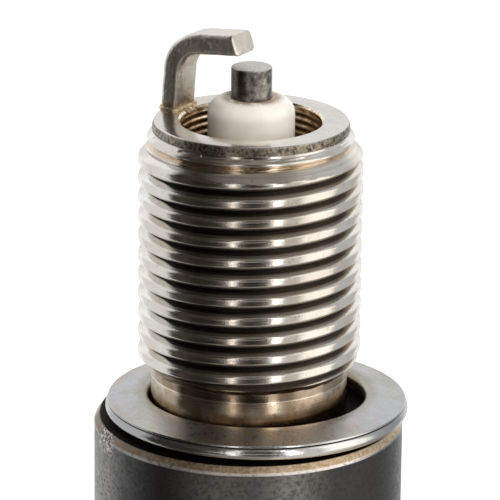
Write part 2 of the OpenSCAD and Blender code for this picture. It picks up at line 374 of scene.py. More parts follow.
def nickel_thread():
    """Bright nickel plate with turning marks, painted shade in the roots and under the crests, a
    brown neck and a stained mouth.
    """
    material, g = new_material("nickel_thread")
    clouds = g.noise(g.mm, 0.35, 4.0)
    spots = g.noise(g.mm, 2.6, 5.0, 0.6)
    marks = g.noise(g.turned(9.0, 0.25), 1.0, 3.0)
    fine_marks = g.noise(g.turned(30.0, 0.5), 1.0, 2.0)
    plate = g.mix(g.smooth(clouds, 0.35, 0.65), (0.72, 0.68, 0.62), (0.79, 0.77, 0.73))
    worn = g.mix(g.smooth(spots, 0.56, 0.74, 0.0, 0.45), plate, (0.45, 0.37, 0.30))
    # painted shade fills the roots and the undersides of the crests, and is thinner at the far
    # left
    in_thread = g.times(g.smooth(g.z, 3.7, 4.1), g.smooth(g.z, REACH - 1.6, REACH - 2.0))
    spread = g.smooth(g.x, -5.4, -4.6, 0.14, 0.34)
    in_root = g.math("SUBTRACT", g.math("SUBTRACT", g.r, THREAD_R - THREAD_DEPTH), spread)
    in_root = g.smooth(in_root, -0.08, 0.06, 1.0, 0.0)
    under = g.smooth(g.normal_z, -0.55, -0.25, 0.8, 0.0)
    under = g.times(under, g.smooth(g.x, -5.4, -4.6, 0.05, 1.0))
    root_shade = g.math("MAXIMUM", g.times(in_root, g.smooth(marks, 0.3, 0.7, 0.8, 1.0)), under)
    root_shade = g.times(root_shade, in_thread)
    # the painted shade is blackest at the left and lighter towards the right
    root_shade_colour = g.mix(g.smooth(g.x, -2.0, 2.5), (0.030, 0.024, 0.020), (0.115, 0.094, 0.076))
    root_shade_colour = g.mix(g.smooth(g.x, 5.7, 6.1), root_shade_colour, (0.42, 0.34, 0.25))
    shaded_plate = g.mix(g.times(root_shade, 0.95), worn, root_shade_colour)
    # the neck is brown, with painted shade making it black at its foot, darker above the step at
    # its top, and a painted highlight along the step
    mottle = g.noise(g.mm, 0.8, 4.0)
    brown = g.mix(g.smooth(mottle, 0.35, 0.7), (0.48, 0.36, 0.25), (0.78, 0.68, 0.55))
    brown = g.mix(g.smooth(spots, 0.56, 0.70, 0.0, 0.6), brown, (0.25, 0.16, 0.10))
    # painted shade at the neck's foot, inside the gasket's hole
    brown = g.mix(g.smooth(g.z, 0.15, 0.35, 0.9, 0.0), brown, (0.03, 0.025, 0.02))
    over_step = g.smooth(g.z, THREAD_LOW, THREAD_LOW + 0.15, 0.0, 0.6)
    brown = g.mix(over_step, brown, (0.16, 0.12, 0.09))
    # painted highlight along the step
    step = g.apart(g.z, THREAD_LOW - 0.01)
    brown = g.mix(g.smooth(step, 0.03, 0.07, 0.85, 0.0), brown, (0.98, 0.95, 0.90))
    necked = g.mix(g.smooth(g.z, 3.6, 4.1, 1.0, 0.0), shaded_plate, brown)
    inside = g.smooth(g.r, MOUTH_R + 0.12, MOUTH_R + 0.2, 1.0, 0.0)
    inside = g.times(inside, g.smooth(g.z, 5.0, 6.0))
    stain = g.mix(g.smooth(spots, 0.4, 0.6), (0.62, 0.44, 0.28), (1.0, 0.90, 0.72))
    colour = g.mix(g.times(inside, 0.9), necked, stain)
    # the rim round the end face is scuffed down to brown and dark grey
    on_rim = g.smooth(g.r, END_R - 0.14, END_R - 0.05)
    on_rim = g.times(on_rim, g.smooth(g.z, REACH - 0.62, REACH - 0.54))
    patches = g.noise(g.mm, 1.6, 5.0, 0.7)
    flecks = g.noise(g.mm, 4.5, 4.0, 0.7)
    scuffs = g.mix(g.smooth(flecks, 0.36, 0.64), (0.07, 0.065, 0.055), (0.42, 0.37, 0.29))
    colour = g.mix(g.times(on_rim, g.smooth(patches, 0.30, 0.50, 0.6, 1.0)), colour, scuffs)
    # a golden line runs round the groove under the rim's ridge
    golden = g.smooth(g.apart(g.z, RIM_GROOVE - 0.01), 0.10, 0.24, 0.7, 0.0)
    golden = g.times(golden, g.smooth(g.r, END_R - 0.1, END_R))
    colour = g.mix(golden, colour, (0.62, 0.47, 0.30))
    rough = g.plus(g.smooth(marks, 0.3, 0.7, 0.13, 0.22), g.times(root_shade, 0.22))
    rough = g.plus(rough, g.times(on_rim, 0.22))
    normal = g.bump(marks, 1.0, 0.004)
    normal = g.bump(fine_marks, 1.0, 0.0007, normal)
    normal = g.bump(g.noise(g.mm, 7.0, 3.0), 1.0, 0.003, normal)
    g.surface(Base_Color=colour, Metallic=1.0, Roughness=rough, Normal=normal)
    return material


def nickel_body():
    """Dark, grainy plate of the barrel and the hexagon, golden on the bevel, with painted dark
    reflections on the barrel's front sides, a painted highlight on the rim and painted shade on
    the seat.
    """
    material, g = new_material("nickel_body")
    clouds = g.noise(g.mm, 0.28, 4.0)
    grain = g.noise(g.mm, 4.0, 4.0, 0.65)
    speck = g.noise(g.mm, 11.0, 3.0, 0.7)
    streaks = g.noise(g.turned(3.0, 0.5), 1.0, 3.0)
    base = g.mix(g.smooth(clouds, 0.35, 0.65), (0.22, 0.218, 0.215), (0.30, 0.295, 0.285))
    base = g.mix(g.smooth(grain, 0.44, 0.66, 0.0, 0.8), base, (0.11, 0.108, 0.104))
    on_barrel = g.times(g.smooth(g.z, -8.8, -7.6), g.smooth(g.r, WAIST_R, WAIST_R + 0.3))
    # painted dark reflection down both front sides of the barrel
    wobble = g.times(clouds, 8.0)
    right = g.smooth(g.plus(g.apart(g.turn, -38.0), wobble), 22.0, 44.0, 0.93, 0.0)
    left = g.smooth(g.plus(g.apart(g.turn, -132.0), wobble), 12.0, 28.0, 0.75, 0.0)
    dark_reflection = g.times(g.math("MAXIMUM", right, left), on_barrel)
    base = g.mix(dark_reflection, base, (0.045, 0.045, 0.047))
    # the bevel is golden, and darker towards the left
    on_bevel = g.smooth(g.z, -SEAT_BEVEL_H - 0.03, -SEAT_BEVEL_H + 0.06)
    on_bevel = g.times(on_bevel, g.smooth(g.r, SEAT_R - 0.08, SEAT_R))
    gold = g.mix(g.smooth(grain, 0.4, 0.65), (0.50, 0.37, 0.24), (0.78, 0.64, 0.47))
    gold = g.mix(g.smooth(g.turn, -142.0, -116.0, 0.75, 0.0), gold, (0.12, 0.09, 0.07))
    colour = g.mix(g.times(on_bevel, 0.92), base, gold)
    # painted highlight along the corner under the bevel, strongest at the front
    rim_highlight = g.smooth(g.apart(g.z, -SEAT_BEVEL_H - 0.03), 0.05, 0.13, 1.0, 0.0)
    rim_highlight = g.times(rim_highlight, g.smooth(grain, 0.35, 0.5, 0.55, 1.0))
    rim_highlight = g.times(rim_highlight, g.smooth(g.apart(g.turn, -88.0), 32.0, 58.0, 1.0, 0.25))
    colour = g.mix(rim_highlight, colour, (0.98, 0.93, 0.91))
    # rough scuffs where a socket has rubbed the shoulder, at the left
    scuff = g.smooth(g.apart(g.turn, -157.0), 4.0, 9.0, 1.0, 0.0)
    scuff = g.times(scuff, g.smooth(g.z, -1.5, -0.9))
    scuff = g.times(scuff, g.smooth(g.r, SEAT_R - 0.6, SEAT_R - 0.2))
    glitter = g.smooth(g.noise(g.mm, 6.0, 2.0, 0.8), 0.45, 0.6)
    colour = g.mix(scuff, colour, g.mix(glitter, (0.16, 0.13, 0.13), (0.9, 0.86, 0.84)))
    # painted shade on the seat, under the gasket
    seat = g.smooth(g.r, SEAT_R - 0.12, SEAT_R - 0.02, 1.0, 0.0)
    seat = g.times(seat, g.smooth(g.z, -0.06, -0.02))
    colour = g.mix(seat, colour, g.mix(glitter, (0.012, 0.010, 0.009), (0.06, 0.045, 0.035)))
    rough = g.plus(g.smooth(grain, 0.3, 0.7, 0.34, 0.48), g.times(seat, 0.3))
    normal = g.bump(streaks, 1.0, 0.006)
    normal = g.bump(grain, 1.0, 0.010, normal)
    normal = g.bump(speck, 1.0, 0.009, normal)
    normal = g.bump(g.times(glitter, scuff), 1.0, 0.06, normal)
    g.surface(Base_Color=colour, Metallic=1.0, Roughness=rough, Normal=normal)
    return material


def zinc_gasket(centre, lift, slope, outer):
    """Satin zinc plate with faint blue, yellow and pink passivation. The ring's centre is lift
    mm up and it tilts by slope, and outer is its radius."""
    material, g = new_material("zinc_gasket", centre)
    clouds = g.noise(g.mm, 0.30, 3.0)
    other = g.noise(g.mm, 0.55, 3.0, 0.5, 0.6)
    grain = g.noise(g.mm, 3.2, 4.0, 0.6)
    rings = g.noise(g.turned(5.0, 0.10), 1.0, 3.0)
    base = g.mix(g.smooth(clouds, 0.36, 0.62), (0.50, 0.47, 0.41), (0.56, 0.57, 0.59))
    base = g.mix(g.smooth(other, 0.50, 0.68, 0.0, 0.55), base, (0.58, 0.48, 0.47))
    base = g.mix(g.smooth(other, 0.48, 0.32, 0.0, 0.5), base, (0.46, 0.49, 0.42))
    base = g.mix(g.smooth(grain, 0.55, 0.75, 0.0, 0.30), base, (0.32, 0.30, 0.27))
    # painted shade: the top darkens and browns towards the hole, next to the neck
    inner = g.smooth(g.r, 7.0, 7.9, 1.0, 0.0)
    colour = g.mix(g.times(inner, 0.5), base, (0.34, 0.29, 0.19))
    # painted light makes the front brighter
    front = g.smooth(g.apart(g.turn, -100.0), 20.0, 60.0, 0.75, 0.0)
    front_light_colour = g.mix(g.smooth(other, 0.4, 0.6), (0.84, 0.78, 0.66), (0.74, 0.76, 0.78))
    colour = g.mix(front, colour, front_light_colour)
    # painted shade on the wall of the hole
    bore = g.times(g.smooth(g.r, 6.9, 6.98, 1.0, 0.0), g.smooth(g.normal_z, 0.3, 0.7, 1.0, 0.0))
    colour = g.mix(g.times(bore, 0.4), colour, (0.30, 0.24, 0.18))
    # the bead round the edge is polished, and carries a painted highlight that is brightest at the
    # front
    bead = g.smooth(g.normal_z, 0.75, 0.9, 1.0, 0.0)
    bead = g.times(bead, g.smooth(g.r, outer - 0.6, outer - 0.5))
    beside = g.smooth(g.apart(g.turn, -82.0), 25.0, 55.0)
    bead_highlight = g.mix(beside, (0.78, 0.81, 0.82), (0.40, 0.41, 0.42))
    colour = g.mix(g.times(bead, 0.9), colour, bead_highlight)
    # painted shade in the crease between the sheet's edge and the bead
    dip = g.times(g.math("SUBTRACT", g.y, centre[1]), slope)
    in_ring = g.plus(g.math("SUBTRACT", g.z, lift), dip)
    crease = g.smooth(g.apart(in_ring, GASKET_CREASE), 0.025, 0.075, 0.92, 0.0)
    crease = g.times(crease, g.smooth(g.r, outer - 0.5, outer - 0.4))
    colour = g.mix(crease, colour, (0.035, 0.035, 0.035))
    rough = g.math("SUBTRACT", g.smooth(grain, 0.3, 0.7, 0.26, 0.36), g.times(bead, 0.14))
    normal = g.bump(rings, 1.0, 0.008)
    normal = g.bump(grain, 1.0, 0.006, normal)
    g.surface(Base_Color=colour, Metallic=1.0, Roughness=rough, Normal=normal)
    return material


def strap_alloy():
    """Nickel alloy of the ground electrode, tinted brown and gold by the weld."""
    material, g = new_material("strap_alloy")
    clouds = g.noise(g.mm, 0.9, 4.0)
    grain = g.noise(g.mm, 6.0, 4.0, 0.65)
    drawn = g.noise(g.mm, 2.2, 3.0, 0.5, 1.5)
    base = g.mix(g.smooth(clouds, 0.35, 0.65), (0.68, 0.63, 0.55), (0.86, 0.82, 0.76))
    base = g.mix(g.smooth(grain, 0.52, 0.74, 0.0, 0.6), base, (0.26, 0.23, 0.19))
    inner = g.smooth(g.r, 5.1, 4.8)
    base = g.mix(g.times(inner, 0.8), base, (0.92, 0.88, 0.80))
    heat = g.smooth(g.plus(g.z, clouds), REACH + 0.5, REACH + 1.5, 1.0, 0.0)
    tint = g.mix(g.smooth(drawn, 0.42, 0.6), (0.50, 0.30, 0.10), (0.85, 0.70, 0.42))
    colour = g.mix(g.times(heat, 0.75), base, tint)
    rough = g.smooth(grain, 0.3, 0.7, 0.28, 0.42)
    normal = g.bump(drawn, 1.0, 0.03)
    normal = g.bump(grain, 1.0, 0.014, normal)
    g.surface(Base_Color=colour, Metallic=1.0, Roughness=rough, Normal=normal)
    return material


def electrode_alloy():
    """Dull, mottled nickel alloy of the centre electrode, lighter on its cut end."""
    material, g = new_material("electrode_alloy")
    clouds = g.noise(g.mm, 1.6, 4.0, 0.6)
    pits = g.noise(g.mm, 6.5, 4.0, 0.7)
    side = g.mix(g.smooth(clouds, 0.38, 0.62), (0.15, 0.14, 0.13), (0.40, 0.385, 0.36))
    side = g.mix(g.smooth(pits, 0.5, 0.7, 0.0, 0.8), side, (0.05, 0.045, 0.04))
    shaded = g.smooth(g.apart(g.turn, -145.0), 15.0, 55.0, 0.7, 0.0)
    side = g.mix(shaded, side, (0.055, 0.048, 0.038))
    end = g.mix(g.smooth(pits, 0.4, 0.65), (0.70, 0.68, 0.65), (0.52, 0.50, 0.48))
    colour = g.mix(g.smooth(g.z, ELECTRODE_TIP - 0.07, ELECTRODE_TIP - 0.02), side, end)
    normal = g.bump(pits, 1.0, 0.015)
    normal = g.bump(g.noise(g.turned(12.0, 0.8), 1.0, 2.0), 1.0, 0.003, normal)
    g.surface(Base_Color=colour, Metallic=1.0, Roughness=0.34, Normal=normal)
    return material


def alumina():
    """White ceramic: a glazed body, and a matt nose with brown deposits round the electrode."""
    material, g = new_material("alumina")
    clouds = g.noise(g.mm, 0.6, 4.0)
    stains = g.noise(g.mm, 1.3, 4.0, 0.6, 0.4)
    base = g.mix(g.smooth(clouds, 0.35, 0.65), (0.80, 0.775, 0.72), (0.87, 0.86, 0.82))
    on_nose = g.smooth(g.z, 2.0, 4.0)
    near = g.times(g.smooth(g.r, 1.5, 2.15, 1.0, 0.0), on_nose)
    near = g.times(near, g.smooth(stains, 0.32, 0.50))
    colour = g.mix(g.times(near, 0.85), base, (0.30, 0.20, 0.12))
    # darker and browner on the side towards the ground electrode
    aside = g.apart(g.math("ABSOLUTE", g.turn), 165.0)
    darker_side = g.times(g.smooth(aside, 10.0, 55.0, 0.72, 0.0), on_nose)
    colour = g.mix(g.times(darker_side, g.smooth(g.r, 1.9, 2.5)), colour, (0.42, 0.36, 0.29))
    low = g.times(g.smooth(g.z, NOSE_TIP - 2.6, NOSE_TIP - 1.5, 1.0, 0.0), on_nose)
    colour = g.mix(g.times(low, 0.55), colour, (0.60, 0.50, 0.38))
    rough = g.plus(0.12, g.times(on_nose, 0.33))
    normal = g.bump(g.noise(g.mm, 4.0, 4.0), 1.0, 0.006)
    g.surface(
        Base_Color=colour, Roughness=rough, Normal=normal, Subsurface_Weight=0.15,
        Subsurface_Radius=(1.2 * MM, 0.9 * MM, 0.7 * MM), Subsurface_Scale=1.0,
    )
    return material


def bright_plate():
    """Bright nickel plate of the terminal nut and stud."""
    material, g = new_material("bright_plate")
    clouds = g.noise(g.mm, 0.5, 3.0)
    marks = g.noise(g.turned(14.0, 0.3), 1.0, 3.0)
    colour = g.mix(g.smooth(clouds, 0.35, 0.65), (0.70, 0.67, 0.61), (0.80, 0.78, 0.74))
    rough = g.smooth(marks, 0.3, 0.7, 0.16, 0.30)
    g.surface(
        Base_Color=colour, Metallic=1.0, Roughness=rough, Normal=g.bump(marks, 1.0, 0.003)
    )
    return material


def grainy(name, light, dark, metallic, roughness, scale):
    """Simple grainy material for the pieces sealed inside the plug."""
    material, g = new_material(name)
    grain = g.noise(g.mm, scale, 5.0, 0.6)
    colour = g.mix(g.smooth(grain, 0.38, 0.62), dark, light)
    rough = g.smooth(grain, 0.3, 0.7, roughness - 0.06, roughness + 0.08)
    g.surface(
        Base_Color=colour, Metallic=metallic, Roughness=rough, Normal=g.bump(grain, 1.0, 0.012)
    )
    return material


# ---------------------------------------------------------------- pieces

def shell_columns():
    """Angles of the shell's columns: even, and closer at the hexagon's rounded corners."""
    corner = math.degrees(HEX_CORNER_FILLET * BEVEL_SLOPE / (HEX_AF / math.sqrt(3)))
    near = [k * corner / 3 for k in (-4, -3, -2, -1, 1, 2, 3, 4)]
    fine = [60.0 * side + offset for side in range(6) for offset in near]
    even = []
    for angle in np.arange(0, 360, 1.5):
        from_corner = min(angle % 60, 60 - angle % 60)
        if from_corner == 0.0 or from_corner > 2.0:
            even.append(angle)
    return np.radians(sorted(angle % 360 for angle in fine + even))


def hex_radius(angles):
    """Distance from the axis to the hexagon with rounded corners, a corner being on +X."""
    from_corner = np.radians(np.mod(np.degrees(angles) + 30.0, 60.0) - 30.0)
    flat = HEX_AF / 2 / np.cos(np.radians(30.0) - np.abs(from_corner))
    centre = (HEX_AF / 2 - HEX_CORNER_FILLET) / math.cos(math.radians(30))
    inside = HEX_CORNER_FILLET ** 2 - (centre * np.sin(from_corner)) ** 2
    arc = centre * np.cos(from_corner) + np.sqrt(np.maximum(inside, 0.0))
    return np.where(inside > 0, np.minimum(arc, flat), flat)


def thread_envelope(z):
    """Largest radius of the thread at a height. A groove and a low ridge lie between the rim and
    the first full crest, and the last crest runs out into the neck."""
    over_groove = z - RIM_GROOVE
    from_ridge = np.clip(np.abs(over_groove - RIDGE_HALF_W) / RIDGE_HALF_W, 0.0, 1.0)
    ridge = END_R + RIM_STEP + RIDGE_H * np.cos(from_ridge * math.pi / 2) ** 2
    rim = np.where(over_groove > 2 * RIDGE_HALF_W, END_R, ridge)
    lead_in = END_R + RIM_STEP + np.clip(-over_groove * TAPER, 0.0, 1.0)
    run_out = NECK_R + NECK_STEP + np.clip((z - RUN_OUT) * TAPER, 0.0, 1.0)
    return np.minimum(np.where(over_groove > 0.0, rim, lead_in), run_out)


def shell():
    """Outside from the thread down to the rolled lip, inside back up to the mouth, and the
    thread as a helix between the two ends of that outline."""
    angles = shell_columns()
    corner_r = hex_radius(angles)
    bevel_fall = (corner_r - HEX_FACE_R) * BEVEL_SLOPE
    edge, arris = 0.05, 0.012
    lip_r, lip_curve, lip_top = 6.2, 2.1, HEX_FOOT - 0.4
    lip = [(lip_r + lip_curve * math.cos(math.radians(a)),
            lip_top - lip_curve * math.sin(math.radians(a))) for a in range(0, 79, 6)]
    lip_bore, hollow_r, throat_r, ledge_r = 5.35, 7.12, 4.75, 3.95
    # tool marks run round the inside of the mouth
    mark_depth, mark_pitch, mark_foot = 0.03, 0.46, 13.2
    marks = [(MOUTH_R + mark_depth * math.sin(TAU * z / mark_pitch), z)
             for z in np.arange(mark_foot, REACH - 0.35, mark_pitch / 8)]
    outline = (
        rounded([
            (NECK_R + NECK_STEP, THREAD_LOW), (NECK_R, THREAD_LOW - 0.05), (NECK_R, 0.0, 0.2),
            (SEAT_R, 0.0, 0.04), (BARREL_R, -SEAT_BEVEL_H, 0.12), (BARREL_R, BARREL_FOOT, 0.12),
            (WAIST_R, BARREL_FOOT - 0.6, 0.4), (WAIST_R, HEX_TOP, 0.4), (HEX_FACE_R - 0.2, HEX_TOP)
        ])
        + [
            (HEX_FACE_R, HEX_TOP - 0.01),
            (corner_r - edge, HEX_TOP - bevel_fall + edge * 0.6),
            (corner_r - arris, HEX_TOP - bevel_fall - arris),
            (corner_r, HEX_TOP - bevel_fall - edge),
            (corner_r, HEX_FOOT + bevel_fall + edge),
            (corner_r - arris, HEX_FOOT + bevel_fall + arris),
            (corner_r - edge, HEX_FOOT + bevel_fall - edge * 0.6),
            (HEX_FACE_R, HEX_FOOT + 0.01),
            (lip[0][0] + 0.25, HEX_FOOT),
            (lip[0][0] + 0.06, HEX_FOOT - 0.06),
            (lip[0][0], HEX_FOOT - 0.25)
        ]
        + lip
        + rounded([
            lip[-1], (lip_bore, SHELL_FOOT + 0.35, 0.15), (lip_bore, HEX_FOOT - 1.2),
            (hollow_r, HEX_FOOT + 0.1), (hollow_r, -4.3), (throat_r, -2.9), (throat_r, 4.7),
            (ledge_r, 5.5, 0.1), (ledge_r, 6.6, 0.1), (MOUTH_R, 7.0), (MOUTH_R, 13.1)
        ])[1:]
        + marks
        + rounded([
            (MOUTH_R, REACH - 0.3), (MOUTH_R + 0.02, REACH - 0.12), (MOUTH_R + 0.16, REACH, 0.04),
            (END_R - 0.1, REACH, 0.14), (END_R, REACH - 0.28, 0.2), (END_R, THREAD_HIGH)
        ])
    )
    form = thread_outline(THREAD_R, THREAD_DEPTH, PITCH, HALF_CREST, CREST_ROUNDING)
    phase = CREST_PHASE + PITCH / 4  # the front is a quarter turn short of angle 0
    sleeve = helix(angles, THREAD_LOW, THREAD_HIGH, PITCH, phase, *form, thread_envelope)
    verts, faces = joined(lathe(outline, angles), sleeve)
    made = piece(
        "shell_skin", verts, faces, [nickel_thread(), nickel_body()], "plug",
        pick=lambda c: 1 if c.z < 0.02 and c.xy.length > NECK_R + 0.25 else 0
    )
    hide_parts("shell")


def gasket():
    """Ring folded from one sheet, with a bead round its edge and a dished top. It lies a little
    off centre and askew on the seat, raised at the front."""
    low, high = box_mm("gasket")
    shift_x, shift_y, rise = 0.15, 0.05, 0.22
    centre = Vector(((low.x + high.x) / 2 + shift_x, (low.y + high.y) / 2 + shift_y, 0.0))
    outer = (high.x - low.x) / 2
    sheet = high.z / 3
    inner = GASKET_HOLE_R + sheet + 0.2
    bead = 1.1 * sheet
    fold = 1.25 * sheet
    rim_z = 2.25 * sheet
    top = high.z + rise
    tilt = math.radians(1.0)

    def arc(r, z, size, start, end, steps=10):
        turns = np.radians(np.linspace(start, end, steps))
        return [(r + size * math.cos(t), z + size * math.sin(t)) for t in turns]

    outline = (
        arc(outer - 0.22, rim_z, 0.09, 85, -70, 9)
        + arc(outer - bead, bead, bead, 66, -90, 18)
        + [(inner, 0.0)]
        + arc(inner, sheet / 2, sheet / 2, -95, -180, 5)
        + arc(GASKET_HOLE_R + fold, top - fold, fold, 255, 88, 14)
        + [(GASKET_HOLE_R + fold + 0.45, top - 0.07), (outer - 0.75, rim_z + 0.15)]
    )
    outline.append(outline[0])
    verts, faces = lathe(outline, even_columns(288))
    lift = outer * math.sin(tilt)
    place = Matrix.Translation(centre + Vector((0, 0, lift))) @ Matrix.Rotation(-tilt, 4, "X")
    verts = [place @ Vector(v) for v in verts]
    material = zinc_gasket(centre.xy, lift, math.sin(tilt), outer)
    made = piece("gasket_skin", verts, faces.tolist(), [material], "gasket")
    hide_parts("gasket")


def strap_path():
    """Stations along the strap: distance from the axis, height, and direction in degrees."""
    lean, rise, bend, leg, arm = 4.5, 6.5, 2.05, 2.59, 2.72
    foot = Vector((5.42, REACH))
    up = Vector((-math.sin(math.radians(lean)), math.cos(math.radians(lean))))
    steps = (0.0, 0.1, 0.2, 0.32, 0.5, 0.8, 1.2, 1.7, 2.2)
    stations = [(foot + up * s, 90.0 + lean) for s in steps]
    centre = foot + up * leg + Vector((-up.y, up.x)) * bend
    for k in range(17):
        direction = 90.0 + lean + (90.0 - lean - rise) * k / 16
        stations.append((centre + unit(direction - 90.0) * bend, direction))
    last, direction = stations[-1]
    stations += [(last + unit(direction) * s, direction) for s in np.linspace(0.2, arm, 12)]
    return stations


def strap_section(corner=0.33, steps=7):
    """Rounded rectangle as (thickness, width) pairs, with a few points on each flat."""
    half_t, half_w = STRAP_T / 2, STRAP_W / 2
    points = []
    for side, (st, sw) in enumerate([(1, 1), (-1, 1), (-1, -1), (1, -1)]):
        for k in range(steps):
            a = math.radians(90 * side + 90 * k / (steps - 1))
            points.append((st * (half_t - corner) + corner * math.cos(a),
                           sw * (half_w - corner) + corner * math.sin(a)))
        if side in (1, 3):
            points += [(st * half_t, st * k * (half_w - corner)) for k in (-0.5, 0.0, 0.5)]
    return points


def ground_electrode():
    """Strap swept along its path, with a slanted tip and weld metal squeezed out at its foot."""
    section = strap_section()
    stations = [(place, direction, 1.0) for place, direction in strap_path()]
    last = len(stations) - 1
    tip, direction, _ = stations[last]
    for ahead, size in ((0.05, 0.985), (0.085, 0.94), (0.10, 0.87), (0.10, 0.5)):
        stations.append((tip + unit(direction) * ahead, direction, size))
    turn = Matrix.Rotation(STRAP_AZIMUTH, 3, "Z")
    verts = []
    for n, (place, direction, size) in enumerate(stations):
        forward = unit(direction)
        outward = Vector((forward.y, -forward.x))
        slant = STRAP_SLANT * min(1.0, max(0.0, (n - last + 3) / 3))
        for t, w in section:
            here = place + outward * t * size - forward * slant * t / STRAP_T
            point = Vector((here.x, w * size, here.y))
            rough = noise.noise(point * 1.3) * 0.022 + noise.noise(point * 4.0) * 0.006
            grip = min(1.0, max(0.0, place.y - REACH) * 2)
            point += Vector((outward.x * t, w * 0.5, outward.y * t)) * rough * grip
            verts.append(turn @ point)
    count = len(section)
    faces = ring_faces(len(stations), count, True).tolist()
    faces.append(list(range(count)))
    faces.append(list(range(len(verts) - count, len(verts))))
    parts = [(np.array(verts), faces)]
    parts.append(weld_bead(section, turn))
    for r, w, size, seed in ((4.62, -0.55, 0.30, 1), (4.55, 0.25, 0.36, 5), (4.66, 0.85, 0.26, 9)):
        parts.append(weld_drop(turn @ Vector((r, w, REACH - 0.06)), size, seed))
    made = piece(
        "ground_electrode_skin", *joined(*parts), [strap_alloy()], "plug", sharp=60.0
    )
    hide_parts("ground_electrode")


def weld_bead(section, turn):
    """Lumpy roll of weld metal round the strap's foot."""
    foot = strap_path()[0][0]
    tube = 9
    size, lumps, grains = 0.15, 0.06, 0.03
    verts = []
    around = []
    for i, (t, w) in enumerate(section):
        t2, w2 = section[(i + 1) % len(section)]
        around += [(t + (t2 - t) * k / 3, w + (w2 - w) * k / 3) for k in range(3)]
    for t, w in around:
        lump = noise.noise(Vector((t * 1.7, w * 1.7, 3.1)))
        fine = noise.noise(Vector((t * 5.0, w * 5.0, 7.7)))
        radius = size + lumps * lump + grains * fine
        outward = Vector((t / 0.9, w / 1.3)).normalized()
        for k in range(tube):
            a = TAU * k / tube
            reach = 0.02 + radius * math.cos(a) * (1.25 if t < 0 else 0.9)
            height = max(-0.05, 0.05 + radius * math.sin(a) * 1.1)
            spot = Vector((foot.x + t + outward.x * reach, w + outward.y * reach, REACH + height))
            spot.x = min(spot.x, END_R - 0.03)
            verts.append(turn @ spot)
    rows = len(around)
    faces = ring_faces(rows, tube, True).tolist()
    faces += [[(rows - 1) * tube + k, (rows - 1) * tube + (k + 1) % tube, (k + 1) % tube, k]
              for k in range(tube)]
    return np.array(verts), faces


def weld_drop(place, size, seed):
    """One flattened drop of weld metal hanging into the shell's mouth."""
    bm = bmesh.new()
    bmesh.ops.create_icosphere(bm, subdivisions=3, radius=1.0)
    verts = []
    for v in bm.verts:
        swell = 1.0 + 0.35 * noise.noise(v.co * 1.6 + Vector((seed, 0, 0)))
        swell += 0.12 * noise.noise(v.co * 4.0 + Vector((0, seed, 0)))
        scaled = Vector((v.co.x * size, v.co.y * size, v.co.z * size * 0.6)) * swell
        verts.append(place + scaled)
    faces = [[v.index for v in f.verts] for f in bm.faces]
    bm.free()
    return np.array(verts), faces


def centre_electrode():
    """Tip, shank and head, hollow round the copper core."""
    head_r, head_foot = 1.75, -1.6
    core_r, core_top = 0.75, 18.6
    outline = rounded([
        (0.0, ELECTRODE_TIP), (ELECTRODE_R, ELECTRODE_TIP, 0.09), (ELECTRODE_R, 0.8),
        (head_r, 0.35, 0.1), (head_r, head_foot), (core_r, head_foot), (core_r, core_top),
        (0.0, core_top)
    ])
    outline[1:1] = [(0.5, ELECTRODE_TIP), (0.95, ELECTRODE_TIP)]
    made = piece(
        "centre_electrode_skin", *joined(lathe(outline, even_columns(96))),
        [electrode_alloy()], "plug"
    )
    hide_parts("centre_electrode")


def insulator():
    """Nose, shank, collar and ribbed body, and the bore back up to the nose."""
    rib_top, rib_pitch, rib_h, ribs = -29.0, 2.2, 0.65, 5
    rib_foot = rib_top - ribs * rib_pitch
    nose_bore, bore, foot_r = 1.29, 1.95, 4.5
    wave = [(BODY_R + rib_h * (1 - math.cos(TAU * s)) / 2, rib_top - s * rib_pitch)
            for s in np.arange(1, 20 * ribs) / 20]
    outline = (
        rounded([
            (nose_bore, NOSE_TIP), (NOSE_R, NOSE_TIP, 1.0), (NOSE_R, NOSE_TIP - 4.5),
            (3.35, 5.68), (SHANK_R, 4.43, 0.1), (SHANK_R, -3.3), (COLLAR_R, -4.9, 0.2),
            (COLLAR_R, -14.2, 0.2), (BODY_R, -15.9), (BODY_R, rib_top)
        ], steps=8)
        + wave
        + rounded([
            (BODY_R, rib_foot), (foot_r, rib_foot - 1.1, 0.5), (foot_r, INSULATOR_FOOT, 0.35),
            (bore, INSULATOR_FOOT), (bore, 0.34), (nose_bore, 1.0), (nose_bore, NOSE_TIP)
        ])
    )
    made = piece("insulator_skin", *joined(lathe(outline, even_columns(192))), [alumina()], "plug")
    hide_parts("insulator")


def terminal_stud(material):
    """Pin and shaft in the insulator, the flange under it, and the M4 thread below."""
    pin_r, pin_top, shaft_top = 1.4, -15.4, -17.4
    shaft_r, flange_r = 1.75, 3.1
    top, foot = NUT_TOP - 0.35, STUD_FOOT + 0.45
    at_top, at_foot = 0.2, 0.35
    angles = even_columns(96)
    upper = rounded([
        (0.0, pin_top), (pin_r, pin_top, 0.1), (pin_r, shaft_top), (shaft_r, shaft_top),
        (shaft_r, INSULATOR_FOOT), (flange_r, INSULATOR_FOOT, 0.08), (flange_r, NUT_TOP, 0.05),
        (STUD_CREST_R - at_top, NUT_TOP, 0.05), (STUD_CREST_R - at_top, top)
    ])
    lower = rounded([
        (STUD_CREST_R - at_foot, foot), (STUD_CREST_R - 0.4, STUD_FOOT, 0.08), (0.0, STUD_FOOT)
    ])
    form = thread_outline(STUD_CREST_R, STUD_DEPTH, STUD_PITCH, 0.06, 0.03)

    def envelope(z):
        """Crests taper to the thread's ends at 45 degrees."""
        under_top = np.clip(top - z, 0.0, at_top) - at_top
        over_foot = np.clip(z - foot, 0.0, at_foot) - at_foot
        return STUD_CREST_R + np.minimum(under_top, over_foot)

    sleeve = helix(angles, foot, top, STUD_PITCH, foot, *form, envelope)
    made = piece(
        "terminal_stud_skin", *joined(lathe(upper, angles), sleeve, lathe(lower, angles)),
        [material], "plug"
    )
    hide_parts("terminal_stud")


